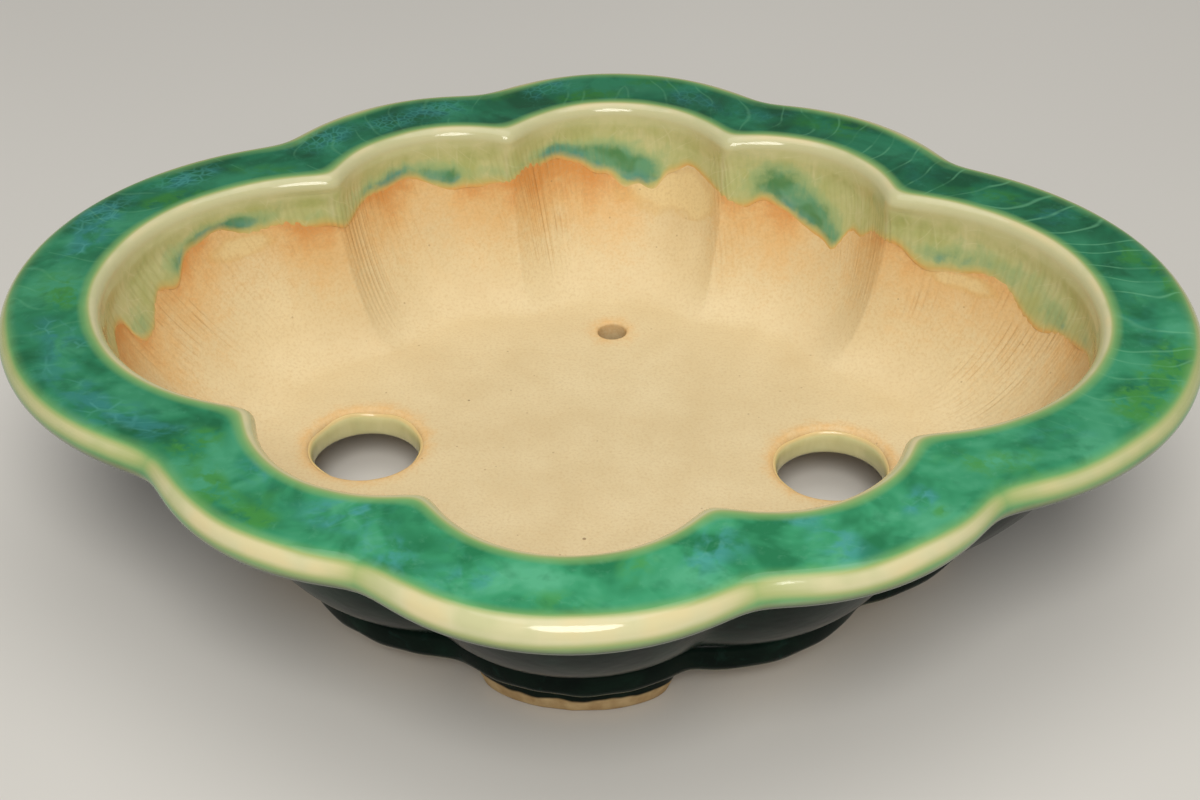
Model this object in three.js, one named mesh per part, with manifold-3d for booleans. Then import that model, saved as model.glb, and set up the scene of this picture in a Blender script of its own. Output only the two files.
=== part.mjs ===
import * as THREE from 'three';
import { mergeVertices } from 'three/addons/utils/BufferGeometryUtils.js';
import Module from 'manifold-3d';

// Plan of the rim in millimetres: eight overlapping discs, one at each end, one at the front
// and the back, and one at each corner. The outline is the outside of all eight together.
const END_CENTRE = 53.0;
const END_RADIUS = 56.0;
const SIDE_CENTRE = 49.5;
const SIDE_RADIUS = 41.7;
const CORNER_X = 30.9;
const CORNER_Y = 36.7;
const CORNER_RADIUS = 41.6;
const NOTCH_SOFTNESS = 1.7;

// Heights and thicknesses of the clay.
const FOOT_HEIGHT = 9.0;
const FLOOR_THICKNESS = 6.0;
const INSIDE_DEPTH = 36.0;
const FLANGE_THICKNESS = 5.2;
const FLANGE_WIDTH = 16.5;
const FLANGE_INNER_ROUND = 1.6;
const WALL_THICKNESS = 6.0;

// The bowl narrows from the rim to the floor, and its lobes fade on the way down.
const FLOOR_HALF_LENGTH = 65.0;
const FLOOR_HALF_WIDTH = 52.5;
const INSIDE_LOBE_FADE = 0.5;
const OUTSIDE_LOBE_FADE = 0.3;
const INSIDE_STRAIGHTNESS = 0.15;
const OUTSIDE_STRAIGHTNESS = 0.35;
const WALL_TOE = 0.8;
const BASE_LEDGE = 2.5;
const BASE_EDGE_ROUND = 2.2;

// Holes through the floor, placed from the ends and the sides of its flat.
const DRAIN_INSET = 19.5;
const DRAIN_RADIUS = 11.2;
const DRAIN_ROUND = 1.0;
const WIRE_INSET = 9.5;
const WIRE_RADIUS = 3.0;
const WIRE_ROUND = 0.8;

// Feet left standing from a band under the floor.
const FOOT_SETBACK = 3.0;
const FOOT_TAPER = 1.5;
const FOOT_BREADTH = 8.5;
const FOOT_WIDTH_TOP = 40.0;
const FOOT_WIDTH_BOTTOM = 32.0;
const FOOT_TIP_ROUND = 1.2;

// Glaze coats, with the bed they lie on.
const GLAZE_BED = 0.35;
const GLAZE_THICKNESS = 0.65;
const GLAZE_BAND = 11.0;
const GLAZE_RUN = 5.0;
const OUTER_GLAZE_STOP = 1.0;

const FLOOR_BOTTOM = FOOT_HEIGHT;
const FLOOR_TOP = FLOOR_BOTTOM + FLOOR_THICKNESS;
const RIM_TOP = FLOOR_TOP + INSIDE_DEPTH;
const RIM_BOTTOM = RIM_TOP - FLANGE_THICKNESS;
const EDGE_RADIUS = FLANGE_THICKNESS / 2;
const INNER_ROUND = Math.min(FLANGE_INNER_ROUND, FLANGE_THICKNESS / 2);
const SLAB_ROUND = Math.min(BASE_EDGE_ROUND, 0.4 * FLOOR_THICKNESS);
const DRAIN_X = FLOOR_HALF_LENGTH - DRAIN_INSET;
const WIRE_Y = FLOOR_HALF_WIDTH - WIRE_INSET;
const GLAZE_FACE = GLAZE_BED + GLAZE_THICKNESS;

const END_LOBE_STEPS = 14;
const LOBE_STEPS = 8;
const WALL_STEPS = 5;
const CROWDING = 0.5;

const wasm = await Module();
wasm.setup();

const PLAN_DISCS = [
  [END_CENTRE, 0, END_RADIUS],
  [CORNER_X, CORNER_Y, CORNER_RADIUS],
  [0, SIDE_CENTRE, SIDE_RADIUS],
  [-CORNER_X, CORNER_Y, CORNER_RADIUS],
  [-END_CENTRE, 0, END_RADIUS],
  [-CORNER_X, -CORNER_Y, CORNER_RADIUS],
  [0, -SIDE_CENTRE, SIDE_RADIUS],
  [CORNER_X, -CORNER_Y, CORNER_RADIUS],
];

// How far one disc reaches from the middle of the pot in a direction.
function discReach(theta, x, y, radius) {
  const along = x * Math.cos(theta) + y * Math.sin(theta);
  const inside = along * along - x * x - y * y + radius * radius;
  if (inside <= 0) {
    return 0;
  }
  return along + Math.sqrt(inside);
}

// The lobed outline, moved out or in by an even amount all round.
function lobed(theta, grow) {
  const reaches = PLAN_DISCS.map(([x, y, radius]) => discReach(theta, x, y, radius + grow));
  const most = Math.max(...reaches);
  const total = reaches.reduce((sum, reach) => sum + Math.exp((reach - most) / NOTCH_SOFTNESS), 0);
  return most + NOTCH_SOFTNESS * Math.log(total);
}

// A plain oval from its half length and half width.
function oval(theta, half, side) {
  return 1 / Math.hypot(Math.cos(theta) / half, Math.sin(theta) / side);
}

function mix(a, b, share) {
  return a + (b - a) * share;
}

// How far the inner edge of the rim stands off a plain oval through its ends and sides.
function lobeShare(theta) {
  const half = lobed(0, -FLANGE_WIDTH);
  const side = lobed(Math.PI / 2, -FLANGE_WIDTH);
  return lobed(theta, -FLANGE_WIDTH) / oval(theta, half, side);
}

// Outline of the floor's flat, with the lobes of the rim partly faded.
function floorOutline(theta, fade) {
  return oval(theta, FLOOR_HALF_LENGTH, FLOOR_HALF_WIDTH) * mix(lobeShare(theta), 1, fade);
}

// Share of the wall's sideways sweep that is used up at a share of its depth.
function sweep(depth, straightness) {
  const curve = 1 - Math.sqrt(Math.max(0, 1 - depth * depth));
  return mix(curve, depth, straightness);
}

function insideRadius(theta, depth) {
  const top = lobed(theta, -FLANGE_WIDTH);
  return mix(top, floorOutline(theta, INSIDE_LOBE_FADE), sweep(depth, INSIDE_STRAIGHTNESS));
}

function outsideRadius(theta, depth) {
  const top = lobed(theta, WALL_THICKNESS - FLANGE_WIDTH);
  const bottom = floorOutline(theta, OUTSIDE_LOBE_FADE) + WALL_THICKNESS;
  return mix(top, bottom, sweep(depth, OUTSIDE_STRAIGHTNESS));
}

// Bearing of the notch between two neighbouring discs at the inner edge of the rim.
function notchBearing([ax, ay, aRadius], [bx, by, bRadius]) {
  const gap = Math.hypot(bx - ax, by - ay);
  const first = aRadius - FLANGE_WIDTH;
  const second = bRadius - FLANGE_WIDTH;
  const along = (gap * gap + first * first - second * second) / (2 * gap);
  const across = Math.sqrt(first * first - along * along);
  const ux = (bx - ax) / gap;
  const uy = (by - ay) / gap;
  return Math.atan2(ay + uy * along - ux * across, ax + ux * along + uy * across);
}

// Directions round the pot, closer together beside the notches than along the lobes.
function lobeDirections() {
  const low = notchBearing(PLAN_DISCS[0], PLAN_DISCS[1]);
  const high = notchBearing(PLAN_DISCS[1], PLAN_DISCS[2]);
  const turn = Math.PI;
  const bearings = [
    -low, low, high, turn - high, turn - low, turn + low, turn + high, 2 * turn - high, 2 * turn - low,
  ];
  const directions = [];
  for (let lobe = 0; lobe < PLAN_DISCS.length; lobe += 1) {
    const steps = lobe % 4 === 0 ? END_LOBE_STEPS : LOBE_STEPS;
    for (let step = 0; step < steps; step += 1) {
      const share = step / steps;
      const eased = share - CROWDING * Math.sin(2 * Math.PI * share) / (2 * Math.PI);
      directions.push(mix(bearings[lobe], bearings[lobe + 1], eased));
    }
  }
  return directions;
}

const DIRECTIONS = lobeDirections();

// A closed ring through stations that run up the outside and down the inside.
// Each station gives a radius and a height for every direction.
function loftRing(stations) {
  const profile = stations.map((station, index) => new THREE.Vector2(index + 1, index));
  profile.push(profile[0].clone());
  const geometry = new THREE.LatheGeometry(profile, DIRECTIONS.length);
  const position = geometry.attributes.position;
  for (let turn = 0; turn <= DIRECTIONS.length; turn += 1) {
    const theta = DIRECTIONS[turn % DIRECTIONS.length];
    for (let row = 0; row < profile.length; row += 1) {
      const [radius, height] = stations[row % stations.length](theta);
      const at = turn * profile.length + row;
      position.setXYZ(at, radius * Math.cos(theta), radius * Math.sin(theta), height);
    }
  }
  return geometry;
}

// A turned shape about an upright axis, from radius and height pairs.
function turned(pairs, segments, x, y) {
  const profile = pairs.map(([radius, height]) => new THREE.Vector2(radius, height));
  const geometry = new THREE.LatheGeometry(profile, segments);
  geometry.rotateX(Math.PI / 2);
  geometry.translate(x, y, 0);
  return geometry;
}

function toSolid(geometry) {
  const plain = geometry.clone();
  plain.deleteAttribute('normal');
  plain.deleteAttribute('uv');
  const merged = mergeVertices(plain, 1e-4);
  const mesh = new wasm.Mesh({
    numProp: 3,
    vertProperties: new Float32Array(merged.attributes.position.array),
    triVerts: new Uint32Array(merged.index.array),
  });
  mesh.merge();
  return new wasm.Manifold(mesh);
}

function toGeometry(solid) {
  const mesh = solid.getMesh();
  const geometry = new THREE.BufferGeometry();
  geometry.setAttribute('position', new THREE.BufferAttribute(mesh.vertProperties, 3));
  geometry.setIndex(new THREE.BufferAttribute(mesh.triVerts, 1));
  geometry.computeVertexNormals();
  return geometry;
}

// Points of a quarter or half round, as sideways and upward offsets from its centre.
function arc(radius, from, to, steps) {
  const points = [];
  for (let step = 0; step <= steps; step += 1) {
    const angle = THREE.MathUtils.degToRad(mix(from, to, step / steps));
    points.push([radius * Math.cos(angle), radius * Math.sin(angle)]);
  }
  return points;
}

// Cutter for a floor hole whose upper edge is rounded over.
function holeCutter(x, y, radius, round, segments) {
  const below = FLOOR_BOTTOM - 2;
  const above = FLOOR_TOP + 2;
  const edge = arc(round, 180, 90, 3).map(([out, up]) => [radius + round + out, FLOOR_TOP - round + up]);
  const pairs = [[0, below], [radius, below], ...edge, [radius + round, above], [0, above]];
  return toSolid(turned(pairs, segments, x, y));
}

// Share of the wall's height at a step of its loft, with the steps closer together near the floor.
function wallShare(step) {
  return Math.sin((step / WALL_STEPS) * Math.PI / 2);
}

function baseOutline(theta) {
  return floorOutline(theta, OUTSIDE_LOBE_FADE) + WALL_THICKNESS + BASE_LEDGE;
}

// Floor slab with a rounded edge, two drain holes and two wire holes.
function floorSlab() {
  const outline = DIRECTIONS.map((theta) => {
    const radius = baseOutline(theta) - SLAB_ROUND;
    return new THREE.Vector2(radius * Math.cos(theta), radius * Math.sin(theta));
  });
  const slab = new THREE.ExtrudeGeometry(new THREE.Shape(outline), {
    depth: FLOOR_THICKNESS - 2 * SLAB_ROUND,
    bevelEnabled: true,
    bevelSize: SLAB_ROUND,
    bevelThickness: SLAB_ROUND,
    bevelSegments: 3,
    curveSegments: 1,
  });
  slab.translate(0, 0, FLOOR_BOTTOM + SLAB_ROUND);
  let solid = toSolid(slab);
  for (const side of [-1, 1]) {
    solid = solid.subtract(holeCutter(side * DRAIN_X, 0, DRAIN_RADIUS, DRAIN_ROUND, 32));
    solid = solid.subtract(holeCutter(0, side * WIRE_Y, WIRE_RADIUS, WIRE_ROUND, 16));
  }
  return toGeometry(solid);
}

// Lobed wall that stands on the floor slab and carries the rim.
function wall() {
  const stations = [];
  for (let step = WALL_STEPS; step >= 0; step -= 1) {
    const depth = wallShare(step);
    const height = mix(RIM_BOTTOM, FLOOR_TOP, depth);
    stations.push((theta) => [outsideRadius(theta, depth), height]);
  }
  const fall = (RIM_TOP - RIM_BOTTOM) / INSIDE_DEPTH;
  const last = 1 - WALL_TOE / INSIDE_DEPTH;
  for (let step = 0; step <= WALL_STEPS; step += 1) {
    const depth = mix(fall, last, wallShare(step));
    const height = RIM_TOP - depth * INSIDE_DEPTH;
    stations.push((theta) => [insideRadius(theta, depth), height]);
  }
  stations.push((theta) => [insideRadius(theta, last), FLOOR_TOP]);
  return loftRing(stations);
}

// Flat rim with a full round outer edge, flush with the wall inside.
function rimFlange() {
  const fall = (RIM_TOP - RIM_BOTTOM) / INSIDE_DEPTH;
  const middle = RIM_TOP - EDGE_RADIUS;
  const stations = arc(EDGE_RADIUS, -90, 90, 5).map(
    ([out, up]) => (theta) => [lobed(theta, out - EDGE_RADIUS), middle + up],
  );
  const bend = INNER_ROUND;
  const inner = -FLANGE_WIDTH;
  for (const [out, up] of arc(bend, 90, 180, 2)) {
    stations.push((theta) => [lobed(theta, inner + bend + out), RIM_TOP - bend + up]);
  }
  stations.push((theta) => [insideRadius(theta, fall), RIM_BOTTOM]);
  return loftRing(stations);
}

// One foot: the part of a band under the floor that a slanting cut on each side leaves.
function foot(bearing) {
  const outer = (theta) => baseOutline(theta) - FOOT_SETBACK;
  const band = loftRing([
    (theta) => [outer(theta) - FOOT_TAPER - FOOT_TIP_ROUND, 0],
    (theta) => [outer(theta) - FOOT_TAPER, FOOT_TIP_ROUND],
    (theta) => [outer(theta), FOOT_HEIGHT],
    (theta) => [outer(theta) - FOOT_BREADTH, FOOT_HEIGHT],
    (theta) => [outer(theta) - FOOT_BREADTH, FOOT_TIP_ROUND],
    (theta) => [outer(theta) - FOOT_BREADTH + FOOT_TIP_ROUND, 0],
  ]);
  const slice = new THREE.Shape([
    new THREE.Vector2(-FOOT_WIDTH_BOTTOM / 2, 0),
    new THREE.Vector2(FOOT_WIDTH_BOTTOM / 2, 0),
    new THREE.Vector2(FOOT_WIDTH_TOP / 2, FOOT_HEIGHT),
    new THREE.Vector2(-FOOT_WIDTH_TOP / 2, FOOT_HEIGHT),
  ]);
  const reach = END_CENTRE + END_RADIUS;
  const cut = new THREE.ExtrudeGeometry(slice, { depth: reach, bevelEnabled: false });
  cut.rotateX(Math.PI / 2);
  cut.rotateZ(bearing + Math.PI / 2);
  return toGeometry(toSolid(band).intersect(toSolid(cut)));
}

// Share of the depth at which the inside glaze stops, lower where it has run.
function glazeStop(theta) {
  const run = 0.5 + 0.5 * Math.cos(8 * theta);
  const length = GLAZE_BAND + GLAZE_RUN * run * (0.6 + 0.4 * Math.sin(3 * theta + 1));
  return length / INSIDE_DEPTH;
}

// Glaze over the rim, round both of its edges and a little way down inside.
function rimGlaze() {
  const middle = RIM_TOP - EDGE_RADIUS;
  const bend = INNER_ROUND;
  const inner = -FLANGE_WIDTH;
  const shells = [GLAZE_FACE, GLAZE_BED].map((lift) => {
    const rows = arc(EDGE_RADIUS + lift, -75, 90, 4).map(
      ([out, up]) => (theta) => [lobed(theta, out - EDGE_RADIUS), middle + up],
    );
    for (const [out, up] of arc(bend + lift, 90, 180, 2)) {
      rows.push((theta) => [lobed(theta, inner + bend + out), RIM_TOP - bend + up]);
    }
    for (const share of [0.5, 1]) {
      rows.push((theta) => {
        const depth = mix(bend / INSIDE_DEPTH, glazeStop(theta), share);
        return [insideRadius(theta, depth) - lift, RIM_TOP - depth * INSIDE_DEPTH];
      });
    }
    return rows;
  });
  return loftRing([...shells[0], ...shells[1].reverse()]);
}

// Glaze under the rim and down the outside of the wall.
function outerGlaze() {
  const stop = 1 - OUTER_GLAZE_STOP / (RIM_BOTTOM - FLOOR_TOP);
  const shells = [GLAZE_FACE, GLAZE_BED].map((lift) => {
    const rows = [];
    for (let step = WALL_STEPS; step >= 0; step -= 1) {
      const start = lift / (RIM_BOTTOM - FLOOR_TOP);
      const depth = Math.min(Math.max(wallShare(step), start), stop);
      const height = mix(RIM_BOTTOM, FLOOR_TOP, depth);
      rows.push((theta) => [outsideRadius(theta, depth) + lift, height]);
    }
    rows.push((theta) => [lobed(theta, -EDGE_RADIUS), RIM_BOTTOM - lift]);
    return rows;
  });
  return loftRing([...shells[0], ...shells[1].reverse()]);
}

// Glaze lining of one drain hole, flared over the hole's rounded edge.
function drainGlaze(x) {
  const shells = [GLAZE_FACE, GLAZE_BED].map((lift) => {
    const edge = arc(DRAIN_ROUND + lift, 180, 130, 2);
    const rows = edge.map(([out, up]) => [DRAIN_RADIUS + DRAIN_ROUND + out, FLOOR_TOP - DRAIN_ROUND + up]);
    return [[DRAIN_RADIUS - lift, FLOOR_BOTTOM + GLAZE_BED], ...rows];
  });
  const pairs = [...shells[1], ...shells[0].reverse(), shells[1][0]];
  return turned(pairs, 32, x, 0);
}

const clay = { color: 0xd9c08f, roughness: 0.8 };
const glaze = { color: 0x4f9c6c, roughness: 0.2 };
const pale = { color: 0xb9b084, roughness: 0.3 };

const pieces = [
  ['floor_slab', floorSlab(), clay],
  ['wall', wall(), clay],
  ['rim_flange', rimFlange(), clay],
  ['foot_right', foot(0), clay],
  ['foot_back', foot(Math.PI / 2), clay],
  ['foot_left', foot(Math.PI), clay],
  ['foot_front', foot(-Math.PI / 2), clay],
  ['rim_glaze', rimGlaze(), glaze],
  ['outer_glaze', outerGlaze(), glaze],
  ['drain_glaze_left', drainGlaze(-DRAIN_X), pale],
  ['drain_glaze_right', drainGlaze(DRAIN_X), pale],
];

const pot = new THREE.Group();
pot.name = 'lobed_bonsai_pot';
for (const [name, geometry, finish] of pieces) {
  const mesh = new THREE.Mesh(geometry, new THREE.MeshStandardMaterial(finish));
  mesh.name = name;
  pot.add(mesh);
}

export default pot;
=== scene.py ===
import math
from functools import partialmethod

import bmesh
import bpy
import numpy as np
from mathutils import Matrix, Vector
from mathutils.geometry import delaunay_2d_cdt


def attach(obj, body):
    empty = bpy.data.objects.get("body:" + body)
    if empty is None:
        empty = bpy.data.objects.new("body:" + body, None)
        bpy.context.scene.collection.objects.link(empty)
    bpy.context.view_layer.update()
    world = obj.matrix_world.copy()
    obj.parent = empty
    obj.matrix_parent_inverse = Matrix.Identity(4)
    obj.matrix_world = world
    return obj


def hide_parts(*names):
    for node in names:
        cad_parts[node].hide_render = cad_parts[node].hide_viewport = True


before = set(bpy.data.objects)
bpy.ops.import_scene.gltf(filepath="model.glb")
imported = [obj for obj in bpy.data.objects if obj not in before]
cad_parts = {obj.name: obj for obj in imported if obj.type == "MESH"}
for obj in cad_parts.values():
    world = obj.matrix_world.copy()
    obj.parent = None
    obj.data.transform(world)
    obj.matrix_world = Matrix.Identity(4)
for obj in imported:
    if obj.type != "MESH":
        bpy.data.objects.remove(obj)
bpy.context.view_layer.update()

MM = 0.001
PI = math.pi
FRONT = -PI / 2

# Sizes in millimetres, the same as those of the solids.
DISCS = (
    (53.0, 0.0, 56.0), (30.9, 36.7, 41.6), (0.0, 49.5, 41.7), (-30.9, 36.7, 41.6),
    (-53.0, 0.0, 56.0), (-30.9, -36.7, 41.6), (0.0, -49.5, 41.7), (30.9, -36.7, 41.6),
)
NOTCH_SOFTNESS = 1.7
FLOOR_BOTTOM = 9.0
FLOOR_TOP = 15.0
INSIDE_DEPTH = 36.0
RIM_TOP = 51.0
RIM_BOTTOM = 45.8
EDGE_RADIUS = 2.6
FLANGE_WIDTH = 16.5
INNER_ROUND = 1.6
INSIDE_STRAIGHTNESS = 0.15
OUTSIDE_STRAIGHTNESS = 0.35
WALL_THICKNESS = 6.0
FLOOR_HALF_LENGTH = 65.0
FLOOR_HALF_WIDTH = 52.5
BASE_LEDGE = 2.5
SLAB_ROUND = 2.2
DRAIN_X = 45.5
WIRE_Y = 43.0
GLAZE_FACE = 1.0
GLAZE_BED = 0.35
FOOT_SETBACK = 3.0
FOOT_TAPER = 1.5
FOOT_BREADTH = 8.5
FOOT_WIDTH_TOP = 40.0
FOOT_WIDTH_BOTTOM = 32.0
DRAIN_RADIUS = 11.0
DRAIN_ROUND = 1.5
WIRE_RADIUS = 3.0
WIRE_ROUND = 0.7

# Shares by which the lobes have faded at the floor, and the power that squares a foot.
INSIDE_FADE = 0.5
OUTSIDE_FADE = 0.3
FOOT_SQUARENESS = 0.32

# Sizes in millimetres of what is modelled here alone.
HOLE_FLARE = 0.4
FOOT_CORNER = 1.3
RIM_FILLET = 3.0
BASE_GLAZE = 0.6
TUCKED = 0.3
RIM_BED = 0.05
RIM_MIDDLE = 8.0
RING_RADIUS = 78.0
LOW_MOST = 9.0
FLOOR_SPACING = 2.0

# Points round each piece, and rows down the inside of the bowl.
BOWL_POINTS = 1440
BOWL_ROWS = 45
RIM_POINTS = 1280
OUTER_POINTS = 800
LINING_POINTS = 160
FOOT_POINTS = 176

# Way across the rim's glaze, from the middle of its outer edge, at which each stretch of it starts.
EDGE_REACH = EDGE_RADIUS + GLAZE_FACE
BEND_REACH = INNER_ROUND + GLAZE_FACE
TOP_WIDTH = FLANGE_WIDTH - INNER_ROUND - EDGE_RADIUS
TOP_START = EDGE_REACH * PI / 2
BEND_START = TOP_START + TOP_WIDTH
RUNS_START = BEND_START + BEND_REACH * PI / 2

# Holes in the floor: middle, radius, rounding of the upper edge, points round it.
HOLES = (
    (-DRAIN_X, 0.0, DRAIN_RADIUS, DRAIN_ROUND, 128),
    (DRAIN_X, 0.0, DRAIN_RADIUS, DRAIN_ROUND, 128),
    (0.0, WIRE_Y, WIRE_RADIUS, WIRE_ROUND, 64),
    (0.0, -WIRE_Y, WIRE_RADIUS, WIRE_ROUND, 64),
)
# Glaze lining of a drain hole: radius and drop below its upper edge, then radius and height at its foot.
LINING_FACE = ((11.25, 0.0), (11.0, -0.12), (10.72, -0.5), (10.5, -1.1), (10.4, -2.0), (10.4, -3.5))
LINING_FOOT = ((10.45, 9.9), (10.7, 9.35), (11.05, 9.2), (11.3, 9.6))
# Height and inset of a foot's rings, flaring where it joins the slab.
FOOT_LEVELS = ((3.0, 0.0), (5.5, 0.0), (7.6, 0.0), (8.4, -0.25), (8.8, -0.7), (9.05, -1.3), (9.6, -1.3))

# The photograph's camera, in degrees and metres.
CAMERA_RISE = 35.57
CAMERA_TURN = 4.54
CAMERA_ROLL = -0.40
CAMERA_DISTANCE = 0.3702
CAMERA_RIGHT = 0.00074
CAMERA_DOWN = 0.0199
CAMERA_AIM = 0.052
CAMERA_LENS = 60.39

# Lamps: name, azimuth and elevation in degrees, distance and size in metres, watts, colour.
LAMPS = (
    ("key", 5.0, 48.0, 1.0, 0.5, 6.2, (1.0, 0.97, 0.92)),
    ("top", 5.0, 86.0, 1.2, 1.2, 5.2, (1.0, 0.98, 0.95)),
)
LAMP_AIM = 0.03
SKY_COLOUR = (1.0, 0.99, 0.97, 1.0)
SKY_STRENGTH = 0.2
STAGE_HALF = 4.0

# Depth below the rim at which the inside glaze ends, by bearing in degrees.
GLAZE_END = (
    (0, 9.6), (4, 11.4), (8, 13.2), (11.5, 15.4), (14.7, 15), (19, 12.9), (22.5, 12.4), (27.5, 13.5),
    (31.5, 13), (34.5, 10), (41, 12.2), (46, 15.2), (49, 19.2), (55, 17.4), (59.5, 14.7), (63, 13),
    (66, 14.6), (71, 12.2), (78, 10.2), (81.3, 13.1), (84, 16.7), (90, 16.5), (94, 13.9), (100, 10.2),
    (104, 9.9), (108, 10.2), (112, 11.3), (117.5, 12.4), (122, 12.5), (126.5, 9.5), (132, 9.3),
    (138, 9.9), (142, 11.4), (148, 10), (152, 9.4), (156, 9.3), (159.5, 7.2), (162.5, 7.8), (164.7, 8.8),
    (167.3, 13.1), (170.5, 12.2), (172.5, 14.4), (174.5, 16.9), (177, 17.1), (178.4, 14.4), (179.6, 9.9),
    (182, 10.3), (186, 12.8), (190, 14.8), (195, 12.5), (201, 13), (207, 11), (214, 9), (222, 12),
    (230, 15), (236, 13), (243, 10), (250, 9.5), (258, 12), (264, 14.5), (271, 12), (278, 9.5),
    (285, 10.5), (292, 13), (299, 15.5), (305, 13), (312, 10), (320, 9), (327, 11.5), (334, 13),
    (341, 11), (348, 9.5), (354, 9),
)

# Comb marks: where they are strong, as bearing, half width, strength, and the depth at which they fade.
COMBED = (
    (141, 3.5, 1.1, 33), (130, 1.6, 0.6, 25), (150, 4, 0.6, 21), (114, 1.8, 0.5, 23), (106, 5, 1.1, 31),
    (97, 3, 0.5, 26), (72.5, 2, 0.6, 31), (52, 5, 0.25, 26), (42, 5, 0.55, 27), (31, 3, 0.5, 29),
    (13, 11, 0.85, 36), (172, 12, 0.8, 30), (217, 6, 0.7, 30), (253, 4, 0.6, 24), (287, 4, 0.6, 24),
    (323, 6, 0.7, 30), (345, 10, 0.6, 34),
)
# How far they lean, in degrees of bearing for each millimetre of depth.
COMB_LEAN = (
    (0, 0.05), (12, 0.0), (30, -0.08), (52, -0.28), (70, -0.18), (95, -0.06), (118, -0.2), (141, -0.02),
    (162, -0.2), (182, -0.16), (215, 0.1), (270, 0.0), (325, -0.1),
)
# Pools of thick green in the inside glaze: bearing, depth, half width in degrees, half height, strength.
POOLS = (
    (156.5, 6, 3.5, 2.2, 0.95), (162, 6.8, 3, 2.2, 0.8), (166.5, 9.5, 3, 3, 0.55),
    (130, 7.5, 9, 2.6, 0.75), (121, 9.8, 4, 2.5, 0.8), (147, 7.5, 4, 2, 0.3), (111, 8.5, 4, 2.5, 0.3),
    (102, 7.8, 4, 2.2, 0.85), (94, 10, 6, 3.5, 1.0), (86.5, 13.2, 4.5, 3.4, 0.95),
    (60.5, 9, 5.5, 4.5, 1.0), (53.5, 13.5, 4.5, 4, 1.0), (49.3, 17, 2.2, 2.5, 0.9), (29, 10, 5, 3, 0.45),
    (20, 9, 5, 3, 0.45), (10, 10.5, 5, 3.5, 0.5), (2, 7, 3, 3, 0.3), (176, 14, 2.4, 3.6, 0.43),
    (200, 10, 6, 3, 0.7), (230, 11.5, 6, 3.5, 0.8), (243, 7.5, 4, 2.5, 0.5), (264, 11, 6, 3, 0.9),
    (292, 9.5, 6, 3, 0.6), (299, 12, 4, 3, 0.8), (327, 8.5, 6, 3, 0.6), (337, 10, 5, 3, 0.6),
)
# How far the green reaches down round the outer edge, in degrees of its roundness, by bearing.
EDGE_GREEN = (
    (0, 10), (30, -8), (90, -8), (150, -8), (180, 12), (215, 16), (246, 11), (268, 0), (290, 11),
    (325, 16),
)
# Milky blue patches on top of the rim, or grass green ones where the strength is below nought:
# bearing, way in from the outer edge in mm, half width in degrees, half width in mm, strength.
TINTED = (
    (20, 9, 5, 4, 0.2), (42, 7, 6, 4, 0.4), (68, 6.5, 4, 3, 0.5), (78, 9, 5, 3, 0.5),
    (102.5, 5, 5, 4, 0.5), (117, 6, 4, 4, 0.6), (126, 9, 5, 4, 0.6), (138, 6.5, 5, 4, 0.7),
    (156.5, 7, 4, 4, 0.9), (168, 7, 4.5, 4.5, 0.9), (174, 8.5, 4, 3, 0.6), (192, 9, 4, 4, 0.8),
    (201, 7, 4, 4, 0.4), (208.5, 6, 4, 4, 0.7), (214.5, 5.5, 2.5, 2.5, 0.7), (228, 13, 3, 3, 0.6),
    (243, 10.5, 4, 4, 1.0), (250.5, 5, 4, 3, 1.0), (262, 8, 4, 4, 0.5), (287.5, 9, 4, 4, 0.6),
    (300, 13.5, 3, 2, 0.6), (302, 7, 2.5, 4, 0.8), (314, 8.5, 3, 3, 1.0), (335, 8, 4, 4, 0.3),
    (356, 9, 4, 4, 0.2), (6, 3, 4, 2, -0.6), (12.6, 6, 3, 3, -0.6), (28, 9, 4, 3, -0.6),
    (57, 8, 5, 4, -0.4), (88, 6, 5, 3, -0.4), (95, 12, 6, 2.5, -0.5), (109, 4.5, 4, 3, -0.5),
    (151, 10, 4, 4, -0.5), (163, 11, 5, 4, -0.7), (183.5, 10.5, 5, 5, -0.5), (219, 7, 3, 4, -0.6),
    (227, 5, 3, 3, -0.8), (234.5, 4.5, 3, 2.5, -0.7), (272, 5, 5, 3, -0.3), (280, 12, 4, 3, -0.3),
    (314.5, 5, 2, 2, -0.6), (326, 7, 4, 4, -0.4), (345, 5.5, 5, 4, -1.0), (351, 5, 3, 3, -0.8),
)
# Orange flashing below the inside glaze: bearing, half width, strength.
FLASHED = (
    (3, 9, 0.48), (22, 8, 0.55), (38, 7, 0.75), (60, 7, 0.7), (69, 3, 0.6), (89, 4, 0.4), (98, 6, 0.9),
    (104, 9, 1.0), (117, 5, 0.6), (134, 10, 0.85), (149, 6, 0.6), (167, 10, 0.75), (182, 6, 0.7),
    (205, 9, 0.7), (236, 10, 0.8), (270, 8, 0.6), (300, 8, 0.8), (335, 10, 0.7),
)
# Pale thin patches below the inside glaze: bearing, depth, half width in degrees, half height, strength.
PALE_PATCHES = (
    (83, 17, 7, 4, 1), (76, 14.8, 4.5, 3.5, 1), (24.5, 14.4, 4.5, 1.6, 0.9), (157, 11, 5, 2.2, 0.9),
    (228, 18, 6, 3, 1), (318, 13, 6, 3, 1),
)


def mix(a, b, share):
    return a + (b - a) * share


def smooth(low, high, value):
    share = np.clip((value - low) / (high - low), 0.0, 1.0)
    return share * share * (3.0 - 2.0 * share)


def bell(offset, width):
    return np.exp(-(offset / width) ** 2)


def turn_gap(theta, bearing):
    """Signed angle in degrees from a bearing to each direction."""
    return (np.degrees(theta) - bearing + 180.0) % 360.0 - 180.0


def turns(count, start=0.0):
    """Evenly spread angles once round."""
    return np.linspace(start, start + 2.0 * PI, count, endpoint=False)


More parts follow.
